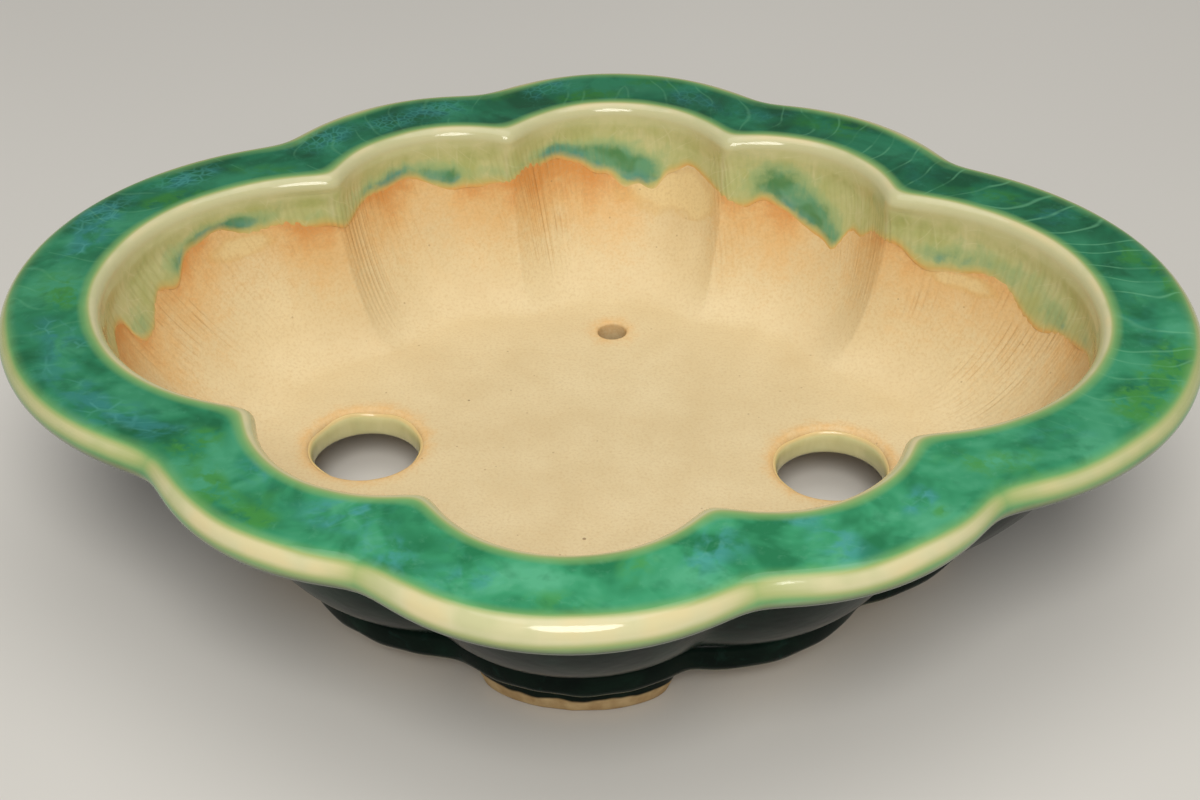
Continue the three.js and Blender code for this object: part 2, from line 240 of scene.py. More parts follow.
def round_off(radius, angle):
    """Way out and way up on a rounding, by its angle in degrees."""
    turn = math.radians(angle)
    return radius * math.cos(turn), radius * math.sin(turn)


def disc_reaches(theta, grow):
    """How far each disc of the outline reaches in each direction."""
    reaches = []
    for x, y, radius in DISCS:
        along = x * np.cos(theta) + y * np.sin(theta)
        inside = along * along - x * x - y * y + (radius + grow) ** 2
        reaches.append(np.where(inside > 0.0, along + np.sqrt(np.maximum(inside, 0.0)), 0.0))
    return np.array(reaches)


def lobed(theta, grow):
    """The lobed outline, moved out or in by an even amount all round."""
    reaches = disc_reaches(theta, grow)
    most = reaches.max(axis=0)
    return most + NOTCH_SOFTNESS * np.log(np.exp((reaches - most) / NOTCH_SOFTNESS).sum(axis=0))


def notch_share(theta, grow, width):
    """One in the notches between the lobes, fading to nothing along the lobes."""
    reaches = np.sort(disc_reaches(theta, grow), axis=0)
    return np.exp(-(reaches[-1] - reaches[-2]) / width)


def oval(theta, half, side):
    return 1.0 / np.hypot(np.cos(theta) / half, np.sin(theta) / side)


INNER_HALF = lobed(0.0, -FLANGE_WIDTH)
INNER_SIDE = lobed(PI / 2, -FLANGE_WIDTH)


def floor_outline(theta, fade):
    share = lobed(theta, -FLANGE_WIDTH) / oval(theta, INNER_HALF, INNER_SIDE)
    return oval(theta, FLOOR_HALF_LENGTH, FLOOR_HALF_WIDTH) * mix(share, 1.0, fade)


def base_outline(theta):
    return floor_outline(theta, OUTSIDE_FADE) + WALL_THICKNESS + BASE_LEDGE


def sweep(depth, straightness):
    curve = 1.0 - np.sqrt(np.maximum(0.0, 1.0 - depth * depth))
    return mix(curve, depth, straightness)


def inside_radius(theta, depth):
    top = lobed(theta, -FLANGE_WIDTH)
    return mix(top, floor_outline(theta, INSIDE_FADE), sweep(depth, INSIDE_STRAIGHTNESS))


def outside_radius(theta, depth):
    top = lobed(theta, WALL_THICKNESS - FLANGE_WIDTH)
    foot = floor_outline(theta, OUTSIDE_FADE) + WALL_THICKNESS
    return mix(top, foot, sweep(depth, OUTSIDE_STRAIGHTNESS))


def around(theta, pairs):
    """A smooth curve through given values at bearings, closed round the pot."""
    places = np.array([pair[0] for pair in pairs], dtype=float)
    values = np.array([pair[1] for pair in pairs], dtype=float)
    gap = (np.roll(places, -1) - places) % 360.0
    slope = (np.roll(values, -1) - np.roll(values, 1)) / (gap + np.roll(gap, 1))
    at = (np.degrees(theta) - places[0]) % 360.0 + places[0]
    step = np.searchsorted(places, at, side="right") - 1
    after = (step + 1) % len(pairs)
    share = (at - places[step]) / gap[step]
    eased = smooth(0.0, 1.0, share)
    leave = slope[step] * share * (1.0 - share) ** 2
    arrive = slope[after] * share * share * (share - 1.0)
    return mix(values[step], values[after], eased) + gap[step] * (leave + arrive)


def ripple(theta, slowest, fastest, seed):
    """Soft random waves round the pot, of about unit height."""
    rng = np.random.default_rng(seed)
    counts = np.arange(slowest, fastest + 1)
    heights = rng.normal(size=len(counts))
    starts = rng.uniform(0.0, 2.0 * PI, size=len(counts))
    total = np.zeros_like(theta)
    for count, height, start in zip(counts, heights, starts):
        total = total + height * np.cos(count * theta + start)
    return total / math.sqrt(0.5 * float((heights ** 2).sum()))


def glaze_end(theta):
    uneven = 1.0 + 0.5 * ripple(theta, 3, 11, seed=4)
    return around(theta, GLAZE_END) + 0.25 * uneven * ripple(theta, 22, 80, seed=3)


def patches(theta, way, table):
    """Soft spots set by bearing and way across, each with its half widths and strength, added up."""
    total = np.zeros(len(theta))
    for bearing, middle, wide, high, share in table:
        total = total + share * bell(turn_gap(theta, bearing), wide) * bell(way - middle, high)
    return total


def add_object(name, data):
    added = bpy.data.objects.new(name, data)
    bpy.context.scene.collection.objects.link(added)
    return added


class Shell:
    """Points, faces and point values of a mesh that is being put together."""

    def __init__(self, *values):
        self.points = []
        self.faces = []
        self.values = {name: [] for name in values}
        self.count = 0

    def add(self, points, **values):
        size = len(points)
        self.points.append(points)
        for name, stored in self.values.items():
            stored.append(np.broadcast_to(values.get(name, 0.0), size))
        index = np.arange(self.count, self.count + size)
        self.count += size
        return index

    def bridge(self, first, second):
        self.faces.extend(zip(first, np.roll(first, -1), np.roll(second, -1), second))

    def bridge_all(self, rings, closed=False):
        for first, second in zip(rings[:-1], rings[1:]):
            self.bridge(first, second)
        if closed:
            self.bridge(rings[-1], rings[0])

    def fill(self, ids, triangles):
        self.faces.extend(tuple(ids[corner] for corner in corners) for corners in triangles)

    def build(self, name):
        points = np.concatenate(self.points) * MM
        faces = [tuple(int(corner) for corner in face) for face in self.faces]
        mesh = bpy.data.meshes.new(name)
        mesh.from_pydata(points.tolist(), [], faces)
        outward = bmesh.new()
        outward.from_mesh(mesh)
        bmesh.ops.recalc_face_normals(outward, faces=outward.faces)
        outward.to_mesh(mesh)
        outward.free()
        mesh.shade_smooth()
        for label, stored in self.values.items():
            layer = mesh.attributes.new(label, "FLOAT", "POINT")
            layer.data.foreach_set("value", np.concatenate(stored).astype(np.float32))
        mesh.update()
        return add_object(name, mesh)


def raised(plan, height):
    return np.column_stack([plan, np.broadcast_to(height, len(plan))])


def ring(theta, radius, height):
    return raised(np.column_stack([radius * np.cos(theta), radius * np.sin(theta)]), height)


def circle(count, x, y, radius):
    turn = turns(count)
    return np.column_stack([x + radius * np.cos(turn), y + radius * np.sin(turn)])


def hole_ring(count, x, y, radius, height):
    return raised(circle(count, x, y, radius), height)


def fill_flat(outer, holes, spots):
    """Corners of triangles between an outer loop and round holes, over plan points set between them."""
    loops = [outer] + [circle(size, x, y, radius) for x, y, radius, size in holes]
    points = np.concatenate(loops + [spots])
    edges = []
    start = 0
    for loop in loops:
        size = len(loop)
        edges.extend((start + step, start + (step + 1) % size) for step in range(size))
        start += size
    flat = [Vector((float(x), float(y))) for x, y in points]
    found, _, faces, sources, _, _ = delaunay_2d_cdt(flat, edges, [], 1, 1e-6)
    origin = [ids[0] if ids else -1 for ids in sources]
    triangles = []
    for corners in faces:
        middle = sum((found[corner] for corner in corners), Vector((0.0, 0.0))) / len(corners)
        in_hole = any(math.hypot(middle.x - x, middle.y - y) < 0.999 * radius for x, y, radius, _ in holes)
        if not in_hole and min(origin[corner] for corner in corners) >= 0:
            triangles.append(tuple(origin[corner] for corner in corners))
    return triangles


def hole_gap(points):
    """Distance of plan points from the nearest floor hole's wall."""
    gaps = [np.hypot(points[:, 0] - x, points[:, 1] - y) - radius for x, y, radius, _, _ in HOLES]
    return np.min(np.array(gaps), axis=0)


def edge_gap(points):
    """Distance of plan points from the foot of the wall, measured towards the middle."""
    theta = np.arctan2(points[:, 1], points[:, 0])
    return floor_outline(theta, INSIDE_FADE) - np.hypot(points[:, 0], points[:, 1])


def floor_spots():
    """Plan points in an even net over the floor, clear of its edge and holes."""
    rows = []
    for line, y in enumerate(np.arange(-60.0, 60.0, FLOOR_SPACING * 0.866)):
        across = np.arange(-80.0 + (line % 2) * FLOOR_SPACING / 2, 80.0, FLOOR_SPACING)
        rows.append(raised(across, y))
    spots = np.concatenate(rows)
    clear = edge_gap(spots) > 1.2
    for x, y, radius, bend, _ in HOLES:
        clear &= np.hypot(spots[:, 0] - x, spots[:, 1] - y) > radius + bend + 1.0
    return spots[clear]


def comb_marks(theta, deep):
    """Place across the comb marks in millimetres, their soft relief, and their strength."""
    leaned = theta - np.radians(around(theta, COMB_LEAN)) * deep
    across = RING_RADIUS * np.abs(leaned - PI / 2)
    relief = np.tanh(1.2 * ripple(leaned, 210, 330, seed=11))
    strength = 0.13 + 0.08 * ripple(leaned, 5, 30, seed=12)
    strength = strength * smooth(30.0, 18.0, deep)
    for bearing, width, share, reach in COMBED:
        fading = smooth(reach + 4.0, reach - 8.0, deep)
        strength = strength + share * bell(turn_gap(leaned, bearing), width) * fading
    strength = strength * (0.8 + 0.2 * ripple(theta + 0.05 * np.sin(0.4 * deep), 20, 70, seed=13))
    return across, relief, np.clip(strength, 0.0, 1.2)


def wall_normals(grid):
    """Directions out of the clay into the bowl at each point of its inside."""
    along = np.gradient(grid, axis=0)
    across = np.roll(grid, -1, axis=1) - np.roll(grid, 1, axis=1)
    normal = np.cross(across, along)
    return normal / np.linalg.norm(normal, axis=2, keepdims=True)


def add_inside(shell, theta):
    """Rings down the inside of the wall, with comb marks, slight unevenness and orange flashing."""
    depth = np.sin(np.linspace(0.02, 1.0, BOWL_ROWS) * PI / 2)
    grid = np.array([ring(theta, inside_radius(theta, d), RIM_TOP - INSIDE_DEPTH * d) for d in depth])
    normal = wall_normals(grid)
    end = glaze_end(theta)
    flashed = np.full(len(theta), 0.18)
    for bearing, width, share in FLASHED:
        flashed = flashed + share * bell(turn_gap(theta, bearing), width)
    patchy = 0.5 + 0.5 * np.tanh(ripple(theta, 8, 40, seed=21))
    flashed = np.minimum(flashed, 1.3) * (0.75 + 0.25 * patchy)
    crest = 0.5 * notch_share(theta, -FLANGE_WIDTH, 1.6)
    inner = []
    for row, d in enumerate(depth):
        deep = INSIDE_DEPTH * d
        below = deep - end
        tooth, relief, strength = comb_marks(theta, deep)
        fade = 1.0 - smooth(0.93, 1.0, d)
        swell = 0.08 * ripple(theta, 6, 40, seed=31) + 0.03 * ripple(theta + 0.002 * deep, 20, 60, seed=32)
        lift = fade * (0.09 * relief * strength + swell)
        lift = lift + crest * smooth(0.0, 5.0, below) * smooth(0.96, 0.78, d)
        near = 0.66 * np.exp(-np.maximum(below, 0.0) / 4.5) + 0.45 * bell(below - 5.0, 10.0)
        inner.append(shell.add(
            grid[row] + normal[row] * lift[:, None],
            flash=near * flashed, pale=patches(theta, deep, PALE_PATCHES),
            comb=strength * fade, tooth=tooth, level=smooth(0.72, 1.0, d)))
    shell.bridge_all([row[::-1] for row in inner])
    return inner


def add_holes(shell):
    """Walls of the floor's holes: the rings at their upper ends and those at their lower ends."""
    tops = []
    bottoms = []
    for x, y, radius, bend, size in HOLES:
        wide = radius + bend
        rings = [shell.add(hole_ring(size, x, y, wide, FLOOR_TOP), flash=0.34, level=1.0)]
        for share in np.linspace(0.0, 1.0, 8)[1:]:
            out, up = round_off(bend, mix(90.0, 180.0, share))
            points = hole_ring(size, x, y, wide + out, FLOOR_TOP - bend + up)
            rings.append(shell.add(points, flash=mix(0.42, 0.36, share), level=1.0))
        rings.append(shell.add(hole_ring(size, x, y, radius, FLOOR_BOTTOM + 0.8), flash=0.1))
        flared = hole_ring(size, x, y, radius + HOLE_FLARE, FLOOR_BOTTOM)
        rings.append(shell.add(flared, flash=0.1, outside=1.0))
        shell.bridge_all(rings)
        tops.append(rings[0])
        bottoms.append(rings[-1])
    return tops, bottoms


def add_floor_spots(shell, spots):
    """Points of the floor's upper face, a little uneven, and flushed round the holes."""
    gap = hole_gap(spots)
    uneven = 0.12 * np.sin(spots[:, 0] * 0.09 + 1.0) * np.cos(spots[:, 1] * 0.11)
    fade = np.clip(edge_gap(spots) / 8.0, 0.0, 1.0)
    high = FLOOR_TOP + uneven * fade * smooth(1.5, 6.0, gap)
    halo = 0.34 * np.exp(-np.maximum(gap - 1.5, 0.0) / 1.4)
    return shell.add(raised(spots, high), flash=halo, level=1.0)


def add_outside(shell, theta):
    """Rings down the outside of the wall and round the edge of the slab."""
    face = [(outside_radius(theta, d), mix(RIM_BOTTOM, FLOOR_TOP, d)) for d in np.linspace(0.0, 1.0, 7)]
    ledge = base_outline(theta) - SLAB_ROUND
    upper = (FLOOR_TOP - SLAB_ROUND, np.linspace(90.0, 0.0, 4))
    lower = (FLOOR_BOTTOM + SLAB_ROUND, np.linspace(0.0, -90.0, 5))
    for middle, angles in (upper, lower):
        for angle in angles:
            out, up = round_off(SLAB_ROUND, angle)
            face.append((ledge + out, middle + up))
    outer = [shell.add(ring(theta, radius, height), outside=1.0) for radius, height in face]
    shell.bridge_all([row[::-1] for row in outer[::-1]])
    return outer


def make_clay_bowl():
    """Wall and floor in one skin: inside, holes, floor, outside, rounded base edge and underside."""
    theta = turns(BOWL_POINTS, FRONT)
    shell = Shell("flash", "pale", "comb", "tooth", "outside", "level")
    inner = add_inside(shell, theta)
    tops, bottoms = add_holes(shell)
    spots = floor_spots()

    floor_ids = np.concatenate([inner[-1], *tops, add_floor_spots(shell, spots)])
    edge = ring(theta, inside_radius(theta, 1.0), FLOOR_TOP)[:, :2]
    rounded = [(x, y, radius + bend, size) for x, y, radius, bend, size in HOLES]
    shell.fill(floor_ids, fill_flat(edge, rounded, spots))

    outer = add_outside(shell, theta)
    shell.bridge(inner[0], outer[0])

    under_spots = shell.add(raised(spots, FLOOR_BOTTOM), outside=1.0)
    under_ids = np.concatenate([outer[-1], *bottoms, under_spots])
    edge = ring(theta, base_outline(theta) - SLAB_ROUND, FLOOR_BOTTOM)[:, :2]
    flared = [(x, y, radius + HOLE_FLARE, size) for x, y, radius, _, size in HOLES]
    shell.fill(under_ids, [corners[::-1] for corners in fill_flat(edge, flared, spots)])
    return shell.build("clay_bowl")


def edge_thin(angle):
    """How thin the glaze is over the outer edge, by the angle of its roundness in degrees."""
    return 0.35 * smooth(120.0, 72.0, angle) + 0.65 * smooth(86.0, 54.0, angle)


def folded_arc(theta):
    """Way along the rim in millimetres, counted both ways from the back, so that it has no seam."""
    here = ring(theta, lobed(theta, -RIM_MIDDLE), 0.0)
    steps = np.linalg.norm(np.roll(here, -1, axis=0) - here, axis=1)
    arc = np.concatenate([[0.0], np.cumsum(steps)[:-1]])
    return np.abs(arc - steps.sum() / 2)


def add_over_rim(shell, theta, arc):
    """Rings of glaze round the outer edge, over the flat of the rim and round its inner edge."""
    waver = 5.0 * ripple(theta, 4, 30, seed=42)
    green_down = around(theta, EDGE_GREEN)
    lobes = (1.0 - 0.4 * notch_share(theta, 0.0, 5.0)) * (1.0 - 0.36 * np.cos(theta) ** 4)
    hollow = ripple(theta, 6, 36, seed=43)
    swell = ripple(theta, 6, 36, seed=44)
    rings = []
    for angle in np.linspace(-80.0, 90.0, 18):
        out, up = round_off(EDGE_REACH, angle)
        thin = lobes * edge_thin(angle + 0.6 * waver + green_down)
        thin = thin * smooth(-44.0, 24.0, angle + 0.6 * waver - 0.7 * np.maximum(green_down, 0.0))
        rings.append(shell.add(
            ring(theta, lobed(theta, out - EDGE_RADIUS), RIM_TOP - EDGE_RADIUS + up),
            thin=thin, low=LOW_MOST, arc=arc, profile=EDGE_REACH * math.radians(angle),
            blue=patches(theta, EDGE_RADIUS * max(angle, 0.0) / 90.0, TINTED)))
    for share in np.linspace(0.0, 1.0, 15)[1:-1]:
        way = TOP_WIDTH * share
        uneven = 1.0 + 0.6 * mix(hollow, swell, smooth(0.2, 0.8, share))
        sink = 0.4 * share * (1.0 - share) * uneven
        thin = edge_thin(90.0 + math.degrees(way / EDGE_REACH) + 0.6 * waver + green_down)
        rings.append(shell.add(
            ring(theta, lobed(theta, -EDGE_RADIUS - way), RIM_TOP + GLAZE_FACE - sink),
            thin=thin + 0.4 * smooth(0.83, 1.0, share), low=LOW_MOST, arc=arc, profile=TOP_START + way,
            blue=patches(theta, EDGE_RADIUS + way, TINTED)))
    for angle in np.linspace(90.0, 180.0, 10):
        out, up = round_off(BEND_REACH, angle)
        thin = mix(0.4, 1.0, smooth(90.0, 120.0, angle + 0.4 * waver))
        rings.append(shell.add(
            ring(theta, lobed(theta, INNER_ROUND - FLANGE_WIDTH + out), RIM_TOP - INNER_ROUND + up),
            thin=thin * (1.0 - 0.45 * smooth(160.0, 180.0, angle)), inner=smooth(118.0, 140.0, angle),
            low=LOW_MOST, arc=arc, profile=BEND_START + BEND_REACH * math.radians(angle - 90.0)))
    return rings


def add_runs(shell, theta, arc, end):
    """Rings of glaze down the inside, thicker in the pools and thinning out at the lower edge."""
    notch_in = notch_share(theta, -FLANGE_WIDTH, 2.0)
    crest = 0.62 * notch_share(theta - 0.012, -FLANGE_WIDTH, 1.5)
    rings = []
    for share in np.linspace(0.0, 1.0, 25)[1:]:
        eased = 1.0 - (1.0 - share) ** 1.7
        deep = mix(INNER_ROUND, end, eased)
        above = end - deep
        pool = patches(theta, deep, POOLS)
        body = 0.42 * (1.0 - np.exp(-above / 2.2)) + 0.25 * pool * smooth(0.0, 3.0, above)
        body = mix(GLAZE_FACE, body - 0.06 * smooth(0.8, 0.0, above), smooth(2.0, 6.5, deep))
        radius = inside_radius(theta, deep / INSIDE_DEPTH) - body
        thin = np.maximum(0.55 * (1.0 - smooth(1.6, 5.0, deep)), crest * smooth(0.0, 3.0, above))
        tooth, _, strength = comb_marks(theta, deep)
        ribs = (0.5 * strength + 0.8 * notch_in) * smooth(2.5, 6.0, deep)
        rings.append(shell.add(
            ring(theta, radius, RIM_TOP - deep), thin=thin, inner=1.0, low=np.minimum(above, LOW_MOST),
            pool=pool, pale=patches(theta, deep, PALE_PATCHES), arc=arc, profile=RUNS_START + deep,
            tooth=tooth, ribs=np.clip(ribs, 0.0, 1.0)))
    return rings


def make_rim_glaze():
    """Glaze over the rim, round both edges and down the inside in runs that thin out on the clay."""
    theta = turns(RIM_POINTS, FRONT)
    shell = Shell("thin", "inner", "low", "pool", "arc", "profile", "blue", "tooth", "ribs", "pale")
    arc = folded_arc(theta)
    end = glaze_end(theta)
    rings = add_over_rim(shell, theta, arc) + add_runs(shell, theta, arc, end)
    hidden = []
    for share in (0.8, 0.4, 0.0):
        deep = mix(INNER_ROUND, end, share)
        hidden.append(ring(theta, inside_radius(theta, deep / INSIDE_DEPTH) + TUCKED, RIM_TOP - deep))
    hidden.append(ring(theta, lobed(theta, INNER_ROUND - FLANGE_WIDTH), RIM_TOP + RIM_BED))
    for angle in (90.0, 60.0, 30.0, 0.0, -30.0, -60.0, -80.0):
        out, up = round_off(EDGE_RADIUS + RIM_BED, angle)
        hidden.append(ring(theta, lobed(theta, out - EDGE_RADIUS), RIM_TOP - EDGE_RADIUS + up))
    for points in hidden:
        rings.append(shell.add(points, thin=0.5, low=LOW_MOST, arc=arc))
    shell.bridge_all([row[::-1] for row in rings[::-1]], closed=True)
    return shell.build("rim_glaze_coat")


def make_outer_glaze():
    """Glaze under the rim, down the outside of the wall and over the rounded edge of the base."""
    theta = turns(OUTER_POINTS, FRONT)
    shell = Shell("low")
    stop = 0.9 * ripple(theta, 8, 50, seed=51)
    under = RIM_BOTTOM - GLAZE_FACE
    fall = RIM_BOTTOM - FLOOR_TOP
    wall_edge = WALL_THICKNESS - FLANGE_WIDTH
    face = []
    for grow in np.linspace(-EDGE_RADIUS + 0.6, wall_edge + RIM_FILLET + 1.0, 6):
        face.append((lobed(theta, grow), under, LOW_MOST))
    wall_top = lobed(theta, wall_edge) + GLAZE_FACE
    for angle in np.linspace(75.0, 0.0, 6):
        out, up = round_off(RIM_FILLET, angle)
        down = RIM_FILLET - up
        shift = outside_radius(theta, (GLAZE_FACE + down) / fall) - outside_radius(theta, 0.0)
        face.append((wall_top + RIM_FILLET - out + shift, under - down, LOW_MOST))
    first = (GLAZE_FACE + RIM_FILLET) / fall
    for d in np.linspace(first, 0.97, 22)[1:]:
        face.append((outside_radius(theta, d) + GLAZE_FACE, mix(RIM_BOTTOM, FLOOR_TOP, d), LOW_MOST))
    lip = SLAB_ROUND + BASE_GLAZE
    ledge = np.maximum(base_outline(theta) - SLAB_ROUND, outside_radius(theta, 1.0) + GLAZE_FACE + 0.2)
    for angle in np.linspace(90.0, 0.0, 8):
        out, up = round_off(lip, angle)
        face.append((ledge + out, FLOOR_TOP - SLAB_ROUND + up, 4.0 - 4.0 * (90.0 - angle) / 150.0))
    for angle in np.linspace(0.0, -58.0, 8)[1:]:
        out, up = round_off(lip if angle > -50.0 else SLAB_ROUND - 0.1, angle)
        wave = 0.12 * stop * smooth(0.0, -40.0, angle)
        face.append((ledge + out, FLOOR_BOTTOM + SLAB_ROUND + up + wave, 1.6 * (1.0 + angle / 58.0)))
    rings = [shell.add(ring(theta, radius, height), low=low) for radius, height, low in face]

    hidden = [(ledge - TUCKED, FLOOR_BOTTOM + 1.5), (ledge - TUCKED, FLOOR_TOP - 0.4)]
    for d in (0.9, 0.5, 0.1):
        hidden.append((outside_radius(theta, d) + GLAZE_BED - 0.5, mix(RIM_BOTTOM, FLOOR_TOP, d)))
    for grow in (wall_edge, -EDGE_RADIUS + 0.6):
        hidden.append((lobed(theta, grow), RIM_BOTTOM + 0.2))
    for radius, height in hidden:
        rings.append(shell.add(ring(theta, radius, height), low=2.0))
    shell.bridge_all(rings, closed=True)
    return shell.build("outer_glaze_coat")


def make_drain_lining(name, x, seed):
    """Thin glaze lining of a drain hole, uneven along its upper edge."""
    turn = turns(LINING_POINTS)
    shell = Shell("low")
    top = FLOOR_TOP - 0.75 + 0.16 * ripple(turn, 2, 7, seed)
    rings = []
    for radius, drop in LINING_FACE:
        rings.append(shell.add(hole_ring(LINING_POINTS, x, 0.0, radius, top + drop), low=-drop))
    for radius, height in LINING_FOOT:
        rings.append(shell.add(hole_ring(LINING_POINTS, x, 0.0, radius, height), low=5.0))
    shell.bridge_all(rings, closed=True)
    return shell.build(name)


def make_foot(name, bearing):
    """A low foot that follows the edge of the base, with softened corners and a worn tip."""
    shell = Shell("tip")
    turn = turns(FOOT_POINTS)
    wide, deep = (np.sign(part) * np.abs(part) ** FOOT_SQUARENESS for part in (np.cos(turn), np.sin(turn)))
    levels = []
    for angle in np.linspace(-90.0, 0.0, 6):
        out, up = round_off(FOOT_CORNER, angle)
        levels.append((FOOT_CORNER + up, FOOT_CORNER - out))
    levels.extend(FOOT_LEVELS)
    rings = []
    for height, inset in levels:
        share = min(height, FLOOR_BOTTOM) / FLOOR_BOTTOM
        half = mix(FOOT_WIDTH_BOTTOM, FOOT_WIDTH_TOP, share) / 2 - inset
        setback = FOOT_SETBACK + FOOT_TAPER * (1.0 - share)
        breadth = FOOT_BREADTH - FOOT_TAPER * (1.0 - share)
        side = wide * half
        inward = (0.5 - 0.5 * deep) * (breadth - 2.0 * inset) + inset
        guess = bearing + np.arcsin(side / base_outline(np.full(len(side), bearing)))
        reach = base_outline(guess) - setback - inward
        theta = bearing + np.arcsin(np.clip(side / reach, -1.0, 1.0))
        rings.append(shell.add(ring(theta, reach, height), tip=height))
    shell.bridge_all(rings)
    sole = rings[0]
    for step in range(FOOT_POINTS // 2):
        corners = (sole[step], sole[-step], sole[-step - 1], sole[step + 1])
        shell.faces.append(tuple(dict.fromkeys(corners)))
    return shell.build(name)


def shade(colour):
    """A screen colour from 0 to 255 as the shader's linear values, or a socket as it is."""
    if not isinstance(colour, tuple):
        return colour
    shares = [part / 255.0 for part in colour]
    linear = [s / 12.92 if s <= 0.04045 else ((s + 0.055) / 1.055) ** 2.4 for s in shares]
    return (*linear, 1.0)


class Surface:
    """A node material, with short ways of adding its nodes."""

    def __init__(self, name):
        self.material = bpy.data.materials.new(name)
        self.material.use_nodes = True
        self.tree = self.material.node_tree
        self.tree.nodes.clear()
        output = self.node("ShaderNodeOutputMaterial")
        self.shader = self.node("ShaderNodeBsdfPrincipled")
        self.tree.links.new(self.shader.outputs["BSDF"], output.inputs["Surface"])
        self.place = self.node("ShaderNodeTexCoord").outputs["Object"]

    def put(self, node, inputs):
        for key, value in inputs.items():
            if isinstance(value, bpy.types.NodeSocket):
                self.tree.links.new(value, node.inputs[key])
            else:
                node.inputs[key].default_value = value

    def node(self, kind, inputs=None, **settings):
        node = self.tree.nodes.new(kind)
        for key, value in settings.items():
            setattr(node, key, value)
        self.put(node, inputs or {})
        return node

    def value(self, name):
        return self.node("ShaderNodeAttribute", attribute_name=name).outputs["Fac"]

    def reckon(self, kind, first, second, clamp=False):
        node = self.node("ShaderNodeMath", {0: first, 1: second}, operation=kind, use_clamp=clamp)
        return node.outputs[0]

    times = partialmethod(reckon, "MULTIPLY")
    plus = partialmethod(reckon, "ADD")
    minus = partialmethod(reckon, "SUBTRACT")
    most = partialmethod(reckon, "MAXIMUM")

    def swing(self, value, amount):
        """A value from 0 to 1 made to go up and down round nought."""
        return self.times(self.minus(value, 0.5), amount)

    def step(self, low, high, value, top=1.0):
        """A soft rise from nought to the top as a value goes from low to high."""
        inputs = {"Value": value, "From Min": low, "From Max": high, "To Max": top}
        return self.node("ShaderNodeMapRange", inputs, interpolation_type="SMOOTHSTEP").outputs["Result"]

    def vectors(self, kind, *values):
        return self.node("ShaderNodeVectorMath", dict(enumerate(values)), operation=kind).outputs["Vector"]

    def join(self, x, y, z=0.0):
        return self.node("ShaderNodeCombineXYZ", {"X": x, "Y": y, "Z": z}).outputs["Vector"]

    def plan(self):
        """Place to the right and to the back, in metres."""
        node = self.node("ShaderNodeSeparateXYZ", {"Vector": self.place})
        return node.outputs["X"], node.outputs["Y"]

    def round_pot(self, profile):
        """A seamless place on the glaze: the bearing on a wide ring, and the way across the coat."""
        level = self.vectors("NORMALIZE", self.vectors("MULTIPLY", self.place, (1.0, 1.0, 0.0)))
        wide = self.vectors("MULTIPLY", level, (RING_RADIUS, RING_RADIUS, 0.0))
        return self.vectors("ADD", wide, self.join(0.0, 0.0, profile))

    def spread(self, size, vector=None):
        """Cells of a size in millimetres, over the piece or over a vector in millimetres."""
        return {"Vector": vector or self.place, "Scale": (1.0 if vector else 1.0 / MM) / size}

    def noise(self, size, detail=2.0, rough=0.5, warp=0.0, vector=None):
        """Noise with blobs of about the given size in millimetres."""
        inputs = {"Detail": detail, "Roughness": rough, "Distortion": warp}
        return self.node("ShaderNodeTexNoise", inputs | self.spread(size, vector)).outputs["Fac"]

    def cracks(self, size, vector):
        """Distance from the edges of cells of the given size in millimetres."""
        node = self.node("ShaderNodeTexVoronoi", self.spread(size, vector), feature="DISTANCE_TO_EDGE")
        return node.outputs["Distance"]

    def lines(self, along, spacing):
        """Distance from lines set at uneven spacing along a coordinate, in shares of the spacing."""
        inputs = {"W": along, "Scale": 1.0 / spacing}
        kind = {"voronoi_dimensions": "1D", "feature": "DISTANCE_TO_EDGE"}
        return self.node("ShaderNodeTexVoronoi", inputs, **kind).outputs["Distance"]

    def specks(self, size, reach, share):
        """Small spots in a share of cells of the given size in millimetres."""
        cells = self.node("ShaderNodeTexVoronoi", self.spread(size), feature="F1")
        pick = self.node("ShaderNodeSeparateColor", {"Color": cells.outputs["Color"]})
        chosen = self.step(1.0 - share, 1.02 - share, pick.outputs["Red"])
        return self.times(self.step(reach, 0.6 * reach, cells.outputs["Distance"]), chosen)

    def blend(self, share, first, second):
        inputs = {0: share, 6: shade(first), 7: shade(second)}
        return self.node("ShaderNodeMix", inputs, data_type="RGBA").outputs[2]

    def ramp(self, share, *stops):
        node = self.node("ShaderNodeValToRGB", {"Fac": share})
        band = node.color_ramp
        while len(band.elements) < len(stops):
            band.elements.new(0.5)
        for element, (where, colour) in zip(band.elements, stops):
            element.position = where
            element.color = shade(colour)
        return node.outputs["Color"]

    def bump(self, height, distance, strength, below=None):
        inputs = {"Height": height, "Distance": distance * MM, "Strength": strength}
        if below is not None:
            inputs["Normal"] = below
        return self.node("ShaderNodeBump", inputs).outputs["Normal"]

    def finish(self, colour, rough, **others):
        self.put(self.shader, {"Base Color": colour, "Roughness": rough} | others)
        return self.material


